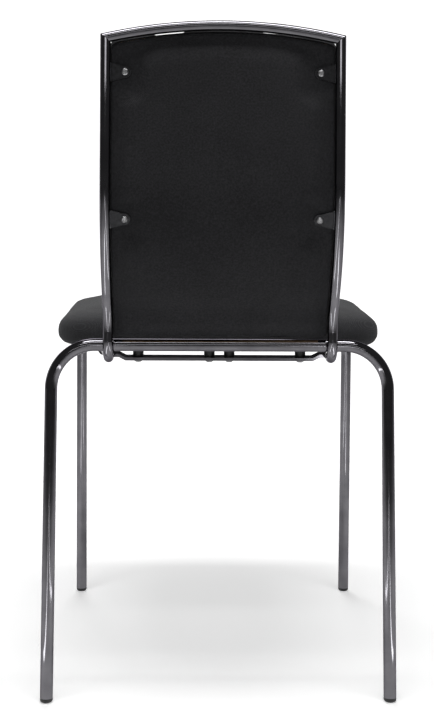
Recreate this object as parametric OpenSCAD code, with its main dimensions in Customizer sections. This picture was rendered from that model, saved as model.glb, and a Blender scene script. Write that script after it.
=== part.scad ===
// Stacking choir chair: bent tube frame, upholstered seat and upholstered back.
// +Z is up, the sitter faces -Y, the sitter's left is +X, and the floor is z = 0.

/* [Leg frames] */
// Diameter of the leg tube
leg_tube_d = 16; // [14:0.5:20]
// Wall of the leg tube
leg_tube_wall = 1.5; // [1:0.1:2]
// Height of both cross rails, at the tube's centre
rail_z = 440; // [430:1:450]
// Radius of the bends between rail and legs, at the tube's centre
leg_bend_r = 55; // [48:1:62]
// Half the distance between the rear legs
rear_leg_half_w = 214; // [208:1:224]
// Half the distance between the front legs
front_leg_half_w = 211.5; // [206:0.5:220]
// Distance between the two cross rails
rail_gap = 401; // [380:1:420]
// How far the rear feet stand behind the rear rail
rear_foot_reach = 36; // [20:1:50]
// How far the front feet stand ahead of the front rail
front_foot_reach = 23; // [10:1:40]

/* [Back frame] */
// Diameter of the back rods and the top bar
rod_d = 12.7; // [11:0.1:14]
// Wall of the back rods and the top bar
rod_wall = 1.2; // [1:0.1:1.6]
// Half the distance between the back rods
rod_half_w = 141.8; // [136:0.2:148]
// Overall height, at the middle of the top bar
overall_h = 840; // [800:1:870]
// Radius of the arched top bar
top_bar_r = 640; // [500:10:900]
// Radius of the bend that takes a back rod under the rear rail
rod_foot_bend_r = 22; // [20:0.5:26]
// Height at which the back rods begin to lean rearward
lean_start_z = 458; // [452:1:470]
// Radius of the lower bend of the lean
lean_low_r = 60; // [50:1:90]
// Radius of the upper bend of the lean
lean_high_r = 230; // [180:5:260]
// Steepest angle of the lean
lean_angle = 38; // [28:1:40]
// Straight length between the two bends of the lean
lean_straight = 15; // [5:1:20]
// Radius of the bend where a side rod turns outward
splay_bend_r = 60; // [40:1:80]
// Length from the foot bend to the corner where a side rod turns outward
splay_lead = 12; // [8:1:16]

/* [Tabs and fasteners] */
// Thickness of the back tabs
tab_t = 2; // [1.5:0.1:3]
// Radius of a tab's tip round its screw
tab_tip_r = 7; // [6:0.5:8]
// Distance of the tab screws from the middle
tab_screw_x = 118.3; // [116:0.1:121]
// Distance of the upper tab screws below the top of the chair
upper_tab_drop = 63; // [50:1:80]
// Height of the lower tab screws above the panel's lower edge
lower_tab_rise = 148.5; // [130:0.5:170]
// Length of a tab along its rod, above its screw
tab_rise = 13; // [10:0.5:16]
// Length of a tab along its rod, below its screw
tab_fall = 13; // [8:0.5:16]
// Diameter of the back screws
back_screw_d = 5; // [4:0.5:6]
// Diameter of the back screws' heads
back_head_d = 8; // [7:0.5:10]
// Height of the back screws' heads
back_head_h = 2.4; // [2:0.1:3]
// Diameter of the seat screws
seat_screw_d = 6; // [5:0.5:8]
// Diameter of the seat screws' heads
seat_head_d = 11; // [10:0.5:14]
// Height of the seat screws' heads
seat_head_h = 3.2; // [2.5:0.1:4]

/* [Back panel] */
// Half width of the back panel
panel_half_w = 135.2; // [130:0.2:135.4]
// Height of the panel's lower edge
panel_bottom_z = 451; // [450:0.5:456]
// Gap between the panel's upper edge and the top bar
panel_top_gap = 0.3; // [0.2:0.1:4]
// Radius of the panel's corners
panel_corner_r = 9; // [6:0.5:14]
// Thickness of the panel's plywood board
board_t = 10; // [8:0.5:12]
// Height of the padding ahead of the board
front_pad_h = 24; // [16:1:30]
// Height of the padding behind the board
rear_pad_h = 11; // [6:0.5:12]
// Flat border of the rear cloth between the tabs' tips and its padding
rear_pad_clear = 1.2; // [1:0.1:4]
// Flat border of the rear cloth at its upper and lower end
rear_pad_end = 5; // [3:0.5:8]
// Thickness of the cloth
cloth_t = 1.2; // [1:0.1:1.5]

/* [Seat] */
// Half width of the seat cushion at its rear
seat_half_w = 217; // [206:0.5:218]
// How much each side widens towards the front
seat_flare = 5; // [0:0.5:8]
// Length of the seat cushion
seat_len = 404; // [390:1:412]
// Radius of the seat cushion's corners
seat_corner_r = 80; // [60:1:90]
// Gap between the seat cushion and the rear rail
seat_rear_gap = 16; // [14:0.5:20]
// Height of the seat cushion at its crown
seat_h = 56; // [46:1:60]
// How far the crown falls towards the front, as a share of its height
seat_front_fall = 0.45; // [0:0.05:0.5]
// Height at which the cushion is widest
seat_belly_h = 13; // [12.5:0.5:16]
// How far the cushion stands out past its plywood pan
seat_overhang = 8; // [6:0.5:12]
// Thickness of the seat pan
pan_t = 10; // [9:0.5:11]
// Width of the cloth folded under the pan
hem_w = 8; // [6:0.5:9]

/* [Seat supports] */
// Width of the two seat straps
strap_w = 25; // [20:1:28]
// Thickness of the two seat straps
strap_t = 4; // [3:0.5:5]
// Half length of the rear strap's level middle
strap_level_half = 122; // [116:1:126]
// How far the rear strap's ends step up
strap_step = 4.5; // [3:0.5:6]
// Height of the spacers on the rear strap
rear_spacer_h = 10; // [8:0.5:12]
// Distance of the rear strap's middle from the seat's rear edge
rear_strap_in = 21; // [19:1:26]
// Distance of the front strap's middle from the seat's front edge
front_strap_in = 84; // [64:1:114]
// Distance of the outer seat screws from the middle
outer_screw_x = 106; // [96:1:112]
// Distance of the inner seat screws from the middle
inner_screw_x = 13; // [10:1:30]
// Diameter of the spacers
spacer_d = 14; // [12:0.5:16]

/* [Feet and bumpers] */
// Height of a glide below its tube
glide_h = 5; // [4:0.5:8]
// Length of a glide's plug inside its tube
glide_plug = 18; // [12:1:25]
// Rounding of a glide's lower edge
glide_round = 3; // [2:0.5:3.5]
// Length of a stacking bumper
bumper_len = 24; // [16:1:30]
// Thickness of a stacking bumper
bumper_t = 2.5; // [2:0.5:4]
// Distance of the rear bumpers ahead of the rear rail
bumper_rear_in = 120; // [90:1:150]
// Distance between a rod's two bumpers
bumper_pitch = 190; // [150:1:200]

/* [Hidden] */
$fn = 48;
// Sides round a tube, and round a full turn of a bend
tube_sides = 48;
bend_sides = 180;
// How much a bend's radius is drawn in against its straights, and how far it runs into them
bend_thinning = 0.03;
bend_overlap = 1;
// How many degrees the top bar runs past each corner before it is mitred
bar_overrun = 2;
// Width and length of a screw's cross recess, as shares of its head
recess_w_share = 0.125;
recess_len_share = 0.55;

// Running gap between welded or seated pieces
seat_gap = 0.1;
// Gap between cloth, foam and board
soft_gap = 0.3;
// Radial clearance of screws in nuts and of plugs in tubes
fit_gap = 0.1;
// Radial clearance of screws in their holes
hole_gap = 0.4;
// Overrun of cuts
overrun = 20;

leg_r = leg_tube_d / 2;
rod_r = rod_d / 2;

// Rails, feet and rods, seen from the side with the rear rail at y = 0
rear_tilt = atan(rear_foot_reach / rail_z);
front_tilt = -atan(front_foot_reach / rail_z);
rod_setback = rod_foot_bend_r - (rod_foot_bend_r - leg_r - rod_r - seat_gap) / sqrt(2);
side_rod_z = rail_z - rod_setback;
rod_foot_y = rod_setback - rod_foot_bend_r;

// Lean of the back rods
low_rise = lean_low_r * sin(lean_angle);
mid_rise = lean_straight * cos(lean_angle);
high_rise = lean_high_r * sin(lean_angle);
lean_low_z = lean_start_z + low_rise;
lean_mid_z = lean_low_z + mid_rise;
lean_end_z = lean_mid_z + high_rise;
low_run = lean_low_r * (1 - cos(lean_angle));
mid_run = lean_straight * sin(lean_angle);
high_run = lean_high_r * (1 - cos(lean_angle));
lean_run = low_run + mid_run + high_run;
rod_top_y = rod_setback + lean_run;

// Top bar and its mitred corners
bar_centre_z = overall_h - rod_r - top_bar_r;
corner_slope = asin(rod_half_w / top_bar_r);
corner_z = bar_centre_z + top_bar_r * cos(corner_slope);
mitre_angle = (90 - corner_slope) / 2;

// Whole object, centred front to back
front_foot_y = -rail_gap - front_foot_reach;
centre_y = (rod_top_y + rod_r + front_foot_y - leg_r) / 2;

// Side rods, which end on the rear of the front frame's bends
bend_drop = leg_bend_r - rod_setback;
rod_end_x = front_leg_half_w - leg_bend_r + sqrt(pow(leg_bend_r, 2) - pow(bend_drop, 2));
rod_end_y = -rail_gap + rod_setback * tan(front_tilt);
splay_y = rod_foot_y - splay_lead;
splay_angle = atan((rod_end_x - rod_half_w) / (splay_y - rod_end_y));
splay_tangent = splay_bend_r * tan(splay_angle / 2);
splay_run = norm([rod_end_x - rod_half_w, splay_y - rod_end_y]);
function side_rod_x(y) = rod_half_w + (splay_y - y) * tan(splay_angle);

// Seat plane: it rests on the side rods at the rear and on the front rail
seat_rear_y = -leg_r - seat_rear_gap;
seat_rear_z = side_rod_z + rod_r + seat_gap;
seat_run = rail_gap + seat_rear_y;
seat_rise = rail_z - seat_rear_z;
seat_tilt = -atan(seat_rise / seat_run) - asin((leg_r + seat_gap) / norm([seat_run, seat_rise]));
function seat_level(y, z) = (z - seat_rear_z - y * sin(seat_tilt)) / cos(seat_tilt);

// Layers of the seat, above the seat plane
underside_t = cloth_t / 2;
hem_z = underside_t + soft_gap;
pan_z = hem_z + cloth_t + soft_gap;
seat_foam_z = pan_z + pan_t + soft_gap;

// Seat straps and the screws through them
rear_strap_y = -rear_strap_in;
front_strap_y = front_strap_in - seat_len;
rear_strap_z = -rear_spacer_h - strap_t - seat_gap;
front_strap_z = seat_level(front_strap_y + strap_w / 2, side_rod_z + rod_r) + seat_gap;
front_spacer_h = -front_strap_z - strap_t - seat_gap;
front_strap_world_y = seat_rear_y + front_strap_y * cos(seat_tilt);
front_strap_half = side_rod_x(front_strap_world_y) + rod_r / 2;
nut_flange_d = seat_screw_d * 3;
nut_flange_t = seat_screw_d / 5;
nut_barrel_d = seat_screw_d * 1.4;
back_flange_d = back_screw_d * 3;
back_flange_t = back_screw_d / 5;
back_barrel_d = back_screw_d * 1.4;

// Half height of a tab's straight sides at its screw, as a share of its tip's radius
tip_share = 0.95;

// Layers of the back panel, measured forward from the rods' centres
tab_w = tab_t / 2;
rear_cloth_w = tab_w + tab_t + soft_gap / 2;
board_w = rear_cloth_w + cloth_t + soft_gap / 2;
front_foam_w = board_w + board_t + soft_gap;
foam_inset = cloth_t + soft_gap;
rear_pad_margin = panel_half_w - tab_screw_x + tab_tip_r + rear_pad_clear;
panel_top_z = overall_h - rod_d - panel_top_gap;
upper_tab_z = overall_h - upper_tab_drop;
lower_tab_z = panel_bottom_z + lower_tab_rise;
panel_mid_z = (panel_top_z + panel_bottom_z) / 2;
panel_half_h = (panel_top_z - panel_bottom_z) / 2;
panel_arch_r = top_bar_r - rod_r - panel_top_gap;

// Forms: how many points run round a corner and along a side
corner_points = 4;
side_points = 6;
// Exponents of the rounded sections of the back's padding and of the seat
crown_power = 2.5;
seat_power = 3.4;
// Angles at which the cushions' outer and inner surfaces have a ring of points
outer_angles = [74, 58, 44, 32, 20, 9, 0];
inner_angles = [66, 44, 24, 0];
// Places of the panel's rows of points, as shares of the lower bend, the upper bend and the straight above
low_bend_shares = [0.3, 0.65, 1];
high_bend_shares = [0, 0.15, 0.3, 0.5, 0.75, 1];
upper_shares = [0.25, 0.5, 0.7, 0.82, 0.91, 0.965];
// Least distance between two rows, the shift of a cavity's rows and the slant of its end walls
row_gap = 1;
row_shift = 0.15;
wall_step = 0.2;
// Where the columns inside the rear cloth's hollow end, as a share of its half width
hollow_share = 0.99;

// Shape helpers

// A bent rod along local +Z. Each step is [roll, straight length, bend radius, bend angle].
module bent_rod(steps, r, i = 0) {
    if (i < len(steps)) {
        step = steps[i];
        rotate([0, 0, step[0]]) {
            cylinder(h = step[1], r = r);
            translate([step[2], 0, step[1]]) {
                if (step[3] > 0)
                    rod_bend(step[2], step[3], r - bend_thinning);
                rotate([0, step[3], 0])
                    translate([-step[2], 0, 0])
                        bent_rod(steps, r, i + 1);
            }
        }
    }
}

// A bend about the origin, from local -X towards +Z, which runs a little way into the straights at its ends
module rod_bend(bend_r, angle, r) {
    extra = atan(bend_overlap / bend_r);
    rotate([90, 0, 180])
        rotate([0, 0, -extra])
            rotate_extrude(angle = angle + 2 * extra, $fn = bend_sides)
                translate([bend_r, 0])
                    circle(r, $fn = tube_sides);
}

module bent_tube(steps, outer_r, wall) {
    difference() {
        bent_rod(steps, outer_r);
        if (wall > 0)
            bent_rod(steps, outer_r - wall);
    }
}

// Puts children drawn with the rear rail at y = 0 into the object's own frame
module place() {
    translate([0, -centre_y, 0])
        children();
}

module on_side(side) {
    if (side > 0)
        children();
    else
        mirror([1, 0, 0])
            children();
}

// Puts children drawn on the seat plane, with y = 0 at its rear edge, into place
module on_seat() {
    place()
        translate([0, seat_rear_y, seat_rear_z])
            rotate([seat_tilt, 0, 0])
                children();
}

// Leg frames and glides

function leg_frame_steps(half_w, length) = [
    [180, length - leg_bend_r, leg_bend_r, 90],
    [0, 2 * (half_w - leg_bend_r), leg_bend_r, 90],
    [0, length - leg_bend_r, 0, 0]
];

module leg_frame_solid(half_w, tilt, rail_y, end_z, outer_r, wall) {
    length = (rail_z - end_z) / cos(tilt);
    translate([0, rail_y, rail_z])
        rotate([tilt, 0, 0])
            translate([half_w, 0, -length])
                bent_tube(leg_frame_steps(half_w, length), outer_r, wall);
}

module rear_leg_frame() {
    color("#2b2b2e")
        place()
            leg_frame_solid(rear_leg_half_w, rear_tilt, 0, glide_h, leg_r, leg_tube_wall);
}

module front_leg_frame() {
    color("#2b2b2e")
        place()
            leg_frame_solid(front_leg_half_w, front_tilt, -rail_gap, glide_h, leg_r, leg_tube_wall);
}

module glide_solid(side, half_w, tilt, rail_y) {
    length = (rail_z - glide_h) / cos(tilt);
    reach = 2 * glide_h + glide_plug + overrun;
    color("#1b1b1c")
        place()
            intersection() {
                translate([0, rail_y, rail_z])
                    rotate([tilt, 0, 0])
                        translate([side * half_w, 0, -length])
                            union() {
                                cylinder(h = glide_plug, r = leg_r - leg_tube_wall - fit_gap);
                                translate([0, 0, glide_round - glide_h])
                                    cylinder(h = glide_h - glide_round, r = leg_r);
                                translate([0, 0, glide_round - glide_h])
                                    rotate_extrude()
                                        translate([leg_r - glide_round, 0])
                                            intersection() {
                                                circle(glide_round);
                                                translate([0, -glide_round])
                                                    square(glide_round);
                                            }
                                translate([0, 0, -glide_h - glide_round])
                                    cylinder(h = glide_h + glide_round, r = leg_r - glide_round);
                            }
                translate([side * half_w - reach / 2, rail_y - rail_z, 0])
                    cube([reach, 2 * rail_z, reach]);
            }
}

module rear_left_glide() glide_solid(1, rear_leg_half_w, rear_tilt, 0);
module rear_right_glide() glide_solid(-1, rear_leg_half_w, rear_tilt, 0);
module front_left_glide() glide_solid(1, front_leg_half_w, front_tilt, -rail_gap);
module front_right_glide() glide_solid(-1, front_leg_half_w, front_tilt, -rail_gap);

// Back rods and top bar

// From above the mitre down the back, under the rear rail, then forward and outward
function back_rod_steps() = [
    [0, corner_z + overrun - lean_end_z, lean_high_r, lean_angle],
    [180, lean_straight, lean_low_r, lean_angle],
    [180, lean_start_z - side_rod_z - rod_foot_bend_r, rod_foot_bend_r, 90],
    [-90, splay_lead - splay_tangent, splay_bend_r, splay_angle],
    [0, splay_run - splay_tangent, 0, 0]
];

module back_rod_run(outer_r, wall) {
    translate([rod_half_w, rod_top_y, corner_z + overrun])
        rotate([180, 0, -90])
            bent_tube(back_rod_steps(), outer_r, wall);
}

// The block on one side of the left mitre plane: above it, or below it
module mitre_block(above) {
    block = 3 * overrun;
    translate([rod_half_w, rod_top_y, corner_z])
        rotate([0, -mitre_angle, 0])
            translate([-block / 2, -block / 2, above ? 0 : -block])
                cube(block);
}

module back_rod(side) {
    color("#2b2b2e")
        place()
            on_side(side)
                difference() {
                    back_rod_run(rod_r, rod_wall);
                    mitre_block(true);
                    leg_frame_solid(front_leg_half_w, front_tilt, -rail_gap, rail_z / 2, leg_r + seat_gap, 0);
                }
}

module left_back_rod() back_rod(1);
module right_back_rod() back_rod(-1);

module top_bar() {
    sweep = 2 * (corner_slope + bar_overrun);
    color("#2b2b2e")
        place()
            difference() {
                translate([0, rod_top_y, bar_centre_z])
                    rotate([90, 0, 0])
                        rotate([0, 0, 90 - sweep / 2])
                            rotate_extrude(angle = sweep, $fn = bend_sides)
                                translate([top_bar_r, 0])
                                    difference() {
                                        circle(rod_r, $fn = tube_sides);
                                        circle(rod_r - rod_wall, $fn = tube_sides);
                                    }
                mitre_block(false);
                mirror([1, 0, 0])
                    mitre_block(false);
            }
}

// The back's side profile: lean angle and rearward offset at a height

function lean_at(z) =
    z <= lean_start_z || z >= lean_end_z ? 0 :
    z <= lean_low_z ? asin((z - lean_start_z) / lean_low_r) :
    z <= lean_mid_z ? lean_angle : asin((lean_end_z - z) / lean_high_r);

function lean_offset(z) =
    z <= lean_start_z ? 0 :
    z >= lean_end_z ? lean_run :
    z <= lean_low_z ? lean_low_r * (1 - cos(lean_at(z))) :
    z <= lean_mid_z ? low_run + (z - lean_low_z) * tan(lean_angle) :
    lean_run - lean_high_r * (1 - cos(lean_at(z)));

// A point of the back panel: x across, z up the rods' centres, w forward from them
function on_back(x, z, w) = [
    x,
    rod_setback + lean_offset(z) - w * cos(lean_at(z)),
    z + w * sin(lean_at(z))
];

// Puts children drawn in the panel's plane, with +Z pointing rearward, at a height
module at_back(z) {
    translate([0, rod_setback + lean_offset(z), z])
        rotate([-90 - lean_at(z), 0, 0])
            mirror([0, 1, 0])
                children();
}

// Tabs, screws and nuts of the back

module tab(side, z) {
    color("#232326")
        place()
            on_side(side)
                difference() {
                    at_back(z)
                        translate([0, 0, -tab_w - tab_t])
                            difference() {
                                union() {
                                    linear_extrude(tab_t)
                                        polygon([[tab_screw_x, tab_tip_r * tip_share],
                                                 [rod_half_w, tab_rise],
                                                 [rod_half_w, -tab_fall],
                                                 [tab_screw_x, -tab_tip_r * tip_share]]);
                                    translate([tab_screw_x, 0, 0])
                                        cylinder(h = tab_t, r = tab_tip_r);
                                }
                                translate([tab_screw_x, 0, -overrun / 2])
                                    cylinder(h = overrun, r = back_screw_d / 2 + hole_gap);
                            }
                    back_rod_run(rod_r + seat_gap, 0);
                }
}

module upper_left_tab() tab(1, upper_tab_z);
module upper_right_tab() tab(-1, upper_tab_z);
module lower_left_tab() tab(1, lower_tab_z);
module lower_right_tab() tab(-1, lower_tab_z);

// The places of the four tab screws, each with the panel's plane at z = 0 and its rear above
module at_tab_screws() {
    for (side = [1, -1], z = [upper_tab_z, lower_tab_z])
        on_side(side)
            at_back(z)
                translate([tab_screw_x, 0, 0])
                    children();
}

// A round head with a cross recess, its seat at z = 0 and its shank below
module cross_screw(shank_d, shank_len, head_d, head_h) {
    slot_w = head_d * recess_w_share;
    slot_len = head_d * recess_len_share;
    difference() {
        union() {
            translate([0, 0, -shank_len])
                cylinder(h = shank_len, r = shank_d / 2);
            cylinder(h = head_h / 2, r = head_d / 2);
            translate([0, 0, head_h / 2])
                cylinder(h = head_h / 2, r1 = head_d / 2, r2 = head_d / 3);
        }
        for (turn = [0, 90])
            rotate([0, 0, turn])
                translate([-slot_len / 2, -slot_w / 2, head_h / 2])
                    cube([slot_len, slot_w, head_h]);
    }
}

module back_screws() {
    color("#8a8a8c")
        place()
            at_tab_screws()
                translate([0, 0, -tab_w + seat_gap])
                    cross_screw(back_screw_d, board_w + board_t - tab_w - back_flange_t, back_head_d, back_head_h);
}

// A nut with a flange at the top of its barrel
module barrel_nut(flange_d, flange_t, barrel_d, length, bore_r) {
    difference() {
        union() {
            cylinder(h = length, r = barrel_d / 2);
            translate([0, 0, length - flange_t])
                cylinder(h = flange_t, r = flange_d / 2);
        }
        translate([0, 0, -overrun / 2])
            cylinder(h = length + overrun, r = bore_r);
    }
}

module back_nuts() {
    color("#9a9a94")
        place()
            at_tab_screws()
                translate([0, 0, -board_w - seat_gap])
                    mirror([0, 0, 1])
                        barrel_nut(back_flange_d, back_flange_t, back_barrel_d, board_t - 2 * seat_gap,
                                   back_screw_d / 2 + fit_gap);
}

// Outlines and lofted forms

// Points round a rounded rectangle, the same count for every size
function round_corner(a, b, r, start) = [
    for (i = [0 : corner_points])
        let (turn = start + 90 * i / corner_points)
            [a + r * cos(turn), b + r * sin(turn)]
];
function between(p, q) = [
    for (i = [1 : side_points - 1])
        p + (q - p) * i / side_points
];
function rounded_loop(a, b, r) =
    let (
        ca = a - r,
        cb = b - r,
        c1 = round_corner(ca, cb, r, 0),
        c2 = round_corner(-ca, cb, r, 90),
        c3 = round_corner(-ca, -cb, r, 180),
        c4 = round_corner(ca, -cb, r, 270)
    )
    concat(c1, between([ca, b], [-ca, b]), c2, between([-a, cb], [-a, -cb]),
           c3, between([-ca, -b], [ca, -b]), c4, between([a, -cb], [a, cb]));

// A closed solid through rings that run counterclockwise seen from its first point, to its last point
module loft(first, rings, last) {
    n = len(rings[0]);
    count = len(rings);
    end = 1 + n * count;
    points = concat([first], [for (ring = rings) each ring], [last]);
    faces = concat(
        [for (i = [0 : n - 1]) [0, 1 + (i + 1) % n, 1 + i]],
        [for (k = [0 : count - 2], i = [0 : n - 1]) [1 + k * n + i, 1 + k * n + (i + 1) % n, 1 + (k + 1) * n + i]],
        [for (k = [0 : count - 2], i = [0 : n - 1])
            [1 + k * n + (i + 1) % n, 1 + (k + 1) * n + (i + 1) % n, 1 + (k + 1) * n + i]],
        [for (i = [0 : n - 1]) [end, 1 + (count - 1) * n + i, 1 + (count - 1) * n + (i + 1) % n]]
    );
    polyhedron(points, faces);
}

// A closed solid through rows of points. Each row runs across at the back, then returns at the front.
module row_loft(rows, flip) {
    n = len(rows[0]);
    half = n / 2;
    count = len(rows);
    last = (count - 1) * n;
    quads = concat(
        [for (k = [0 : count - 2], i = [0 : n - 1])
            [k * n + i, k * n + (i + 1) % n, (k + 1) * n + (i + 1) % n, (k + 1) * n + i]],
        [for (i = [0 : half - 2]) [n - 1 - i, n - 2 - i, i + 1, i]],
        [for (i = [0 : half - 2]) [last + i, last + i + 1, last + n - 2 - i, last + n - 1 - i]]
    );
    faces = concat(
        [for (q = quads) flip ? [q[2], q[1], q[0]] : [q[0], q[1], q[2]]],
        [for (q = quads) flip ? [q[3], q[2], q[0]] : [q[0], q[2], q[3]]]
    );
    polyhedron([for (row = rows) each row], faces);
}

// Share of the half width at an angle of a rounded section
function crown_in(angle) = pow(cos(angle), 2 / crown_power);

// Seat

// The seat's loop, inset and raised, scaled in by a share for its crown and lowered by fall at its front edge
function seat_loop(inset, z, share = 1, fall = 0) = [
    for (p = rounded_loop(seat_half_w - inset, seat_len / 2 - inset, seat_corner_r - inset / 2))
        let (y = p[1] / (seat_len / 2))
            [
                share * (p[0] + sign(p[0]) * seat_flare * (1 - y) / 2),
                share * p[1] - seat_len / 2,
                z - fall * (1 - share * y) / 2
            ]
];
function seat_crown(inset, top, angles) = [
    for (angle = angles)
        let (rise = (top - seat_belly_h) * pow(sin(angle), 2 / seat_power))
            seat_loop(inset, seat_belly_h + rise, pow(cos(angle), 2 / seat_power), rise * seat_front_fall)
];
function seat_top(top) = [0, -seat_len / 2, top - (top - seat_belly_h) * seat_front_fall / 2];
seat_skin = cloth_t + soft_gap / 2;
seat_core = cloth_t + soft_gap;
pan_inset = seat_overhang + cloth_t;
low_z = (hem_z + seat_belly_h) / 2;

module seat_cover() {
    color("#242426")
        on_seat()
            loft(
                seat_top(seat_h),
                concat(
                    seat_crown(0, seat_h, outer_angles),
                    [
                        seat_loop(seat_overhang / 3, low_z),
                        seat_loop(seat_overhang, hem_z),
                        seat_loop(pan_inset + hem_w, hem_z),
                        seat_loop(pan_inset + hem_w, hem_z + cloth_t),
                        seat_loop(pan_inset, hem_z + cloth_t),
                        seat_loop(pan_inset, pan_z + pan_t)
                    ],
                    reverse(seat_crown(seat_skin, seat_h - seat_skin, inner_angles))
                ),
                seat_top(seat_h - seat_skin)
            );
}

module seat_foam() {
    color("#c9b96a")
        on_seat()
            loft(
                seat_top(seat_h - 2 * seat_core),
                concat(
                    seat_crown(2 * seat_core, seat_h - 2 * seat_core, inner_angles),
                    [seat_loop(pan_inset + soft_gap, seat_foam_z)]
                ),
                [0, -seat_len / 2, seat_foam_z]
            );
}

module pan_outline(inset) {
    polygon([
        for (p = seat_loop(pan_inset + soft_gap + inset, 0))
            [p[0], p[1]]
    ]);
}

module at_seat_screws() {
    for (x = [outer_screw_x, inner_screw_x, -inner_screw_x, -outer_screw_x])
        translate([x, rear_strap_y, 0])
            children();
    for (x = [outer_screw_x, -outer_screw_x])
        translate([x, front_strap_y, 0])
            children();
}

module seat_pan() {
    color("#b08a5a")
        on_seat()
            difference() {
                translate([0, 0, pan_z])
                    linear_extrude(pan_t)
                        pan_outline(0);
                at_seat_screws()
                    cylinder(h = overrun, r = nut_barrel_d / 2 + fit_gap);
                at_seat_screws()
                    translate([0, 0, pan_z + pan_t - nut_flange_t - fit_gap])
                        cylinder(h = overrun, r = nut_flange_d / 2 + fit_gap);
            }
}

module seat_underside_cloth() {
    color("#1c1c1e")
        on_seat()
            difference() {
                linear_extrude(underside_t)
                    pan_outline(hem_w / 2);
                at_seat_screws()
                    translate([0, 0, -overrun / 2])
                        cylinder(h = overrun, r = seat_screw_d / 2 + hole_gap);
            }
}

module seat_nuts() {
    color("#9a9a94")
        on_seat()
            at_seat_screws()
                translate([0, 0, pan_z])
                    barrel_nut(nut_flange_d, nut_flange_t, nut_barrel_d, pan_t - fit_gap, seat_screw_d / 2 + fit_gap);
}

module seat_screws() {
    shank = pan_z + pan_t - nut_flange_t;
    color("#8a8a8c")
        on_seat() {
            for (x = [outer_screw_x, inner_screw_x, -inner_screw_x, -outer_screw_x])
                translate([x, rear_strap_y, rear_strap_z - seat_gap])
                    mirror([0, 0, 1])
                        cross_screw(seat_screw_d, shank - rear_strap_z, seat_head_d, seat_head_h);
            for (x = [outer_screw_x, -outer_screw_x])
                translate([x, front_strap_y, front_strap_z - seat_gap])
                    mirror([0, 0, 1])
                        cross_screw(seat_screw_d, shank - front_strap_z, seat_head_d, seat_head_h);
        }
}

module spacer(height) {
    translate([0, 0, -height])
        difference() {
            cylinder(h = height, r = spacer_d / 2);
            translate([0, 0, -overrun / 2])
                cylinder(h = height + overrun, r = seat_screw_d / 2 + hole_gap);
        }
}

module seat_spacers() {
    color("#19191a")
        on_seat() {
            for (x = [outer_screw_x, inner_screw_x, -inner_screw_x, -outer_screw_x])
                translate([x, rear_strap_y, 0])
                    spacer(rear_spacer_h);
            for (x = [outer_screw_x, -outer_screw_x])
                translate([x, front_strap_y, 0])
                    spacer(front_spacer_h);
        }
}

module rear_seat_strap() {
    step_run = 2 * strap_step;
    end_x = side_rod_x(seat_rear_y - rear_strap_in - strap_w);
    level = [[strap_level_half, 0], [strap_level_half + step_run, strap_step], [end_x, strap_step],
             [end_x, strap_step + strap_t], [strap_level_half + step_run, strap_step + strap_t],
             [strap_level_half, strap_t]];
    color("#2b2b2e")
        difference() {
            on_seat()
                difference() {
                    translate([0, rear_strap_y + strap_w / 2, rear_strap_z])
                        rotate([90, 0, 0])
                            linear_extrude(strap_w)
                                polygon(concat(level, [for (i = [len(level) - 1 : -1 : 0]) [-level[i][0], level[i][1]]]));
                    for (x = [outer_screw_x, inner_screw_x, -inner_screw_x, -outer_screw_x])
                        translate([x, rear_strap_y, rear_strap_z - overrun / 2])
                            cylinder(h = overrun, r = seat_screw_d / 2 + hole_gap);
                }
            for (side = [1, -1])
                place()
                    on_side(side)
                        back_rod_run(rod_r + seat_gap, 0);
        }
}

module front_seat_strap() {
    color("#2b2b2e")
        on_seat()
            difference() {
                translate([-front_strap_half, front_strap_y - strap_w / 2, front_strap_z])
                    cube([2 * front_strap_half, strap_w, strap_t]);
                for (x = [outer_screw_x, -outer_screw_x])
                    translate([x, front_strap_y, front_strap_z - overrun / 2])
                        cylinder(h = overrun, r = seat_screw_d / 2 + hole_gap);
            }
}

// Half-round pads under the side rods, which a chair stacked above rests against
module stacking_bumpers() {
    color("#141415")
        place()
            for (side = [1, -1], step = [0, 1])
                on_side(side)
                    translate([side_rod_x(-bumper_rear_in - step * bumper_pitch),
                               -bumper_rear_in - step * bumper_pitch, side_rod_z])
                        rotate([0, 0, splay_angle])
                            translate([0, bumper_len / 2, 0])
                                rotate([90, 0, 0])
                                    linear_extrude(bumper_len)
                                        difference() {
                                            circle(rod_r + seat_gap + bumper_t);
                                            circle(rod_r + seat_gap);
                                            translate([-overrun, 0])
                                                square([2 * overrun, overrun]);
                                        }
}

// Back panel

// Heights of the panel's rows of points, between its first and last row
inner_rows = concat(
    [panel_mid_z - panel_half_h * crown_in(outer_angles[5])],
    [for (share = low_bend_shares) lean_start_z + share * low_rise],
    [for (share = high_bend_shares) lean_mid_z + share * high_rise],
    [for (share = upper_shares) lean_end_z + share * (panel_top_z - lean_end_z)]
);
// Places of the rows' points across the panel, as shares of its half width
column_shares = concat(
    [for (i = [len(outer_angles) - 1 : -1 : 0]) -crown_in(outer_angles[i])],
    [0],
    [for (angle = outer_angles) crown_in(angle)]
);

// The same for the rear cloth, whose last columns mark the border of its padding
padded_share = 1 - rear_pad_margin / panel_half_w;
rear_columns = concat([-1], [for (share = column_shares) share * padded_share], [1]);
hollow_columns = concat([-1], [for (share = column_shares) share * hollow_share], [1]);

function panel_rows(inset) =
    let (
        low = panel_bottom_z + inset,
        high = panel_top_z - inset
    )
    concat([low], [for (z = inner_rows) if (z > low + row_gap && z < high - row_gap) z], [high]);

// Half width of the panel at a height, with its corners rounded
function panel_half_at(z, inset, margin) =
    let (
        from_end = max(0, min(z - panel_bottom_z - inset, panel_top_z - inset - z)),
        r = panel_corner_r + margin
    )
    panel_half_w - inset - margin - (from_end < r ? r - sqrt(pow(r, 2) - pow(r - from_end, 2)) : 0);

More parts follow.
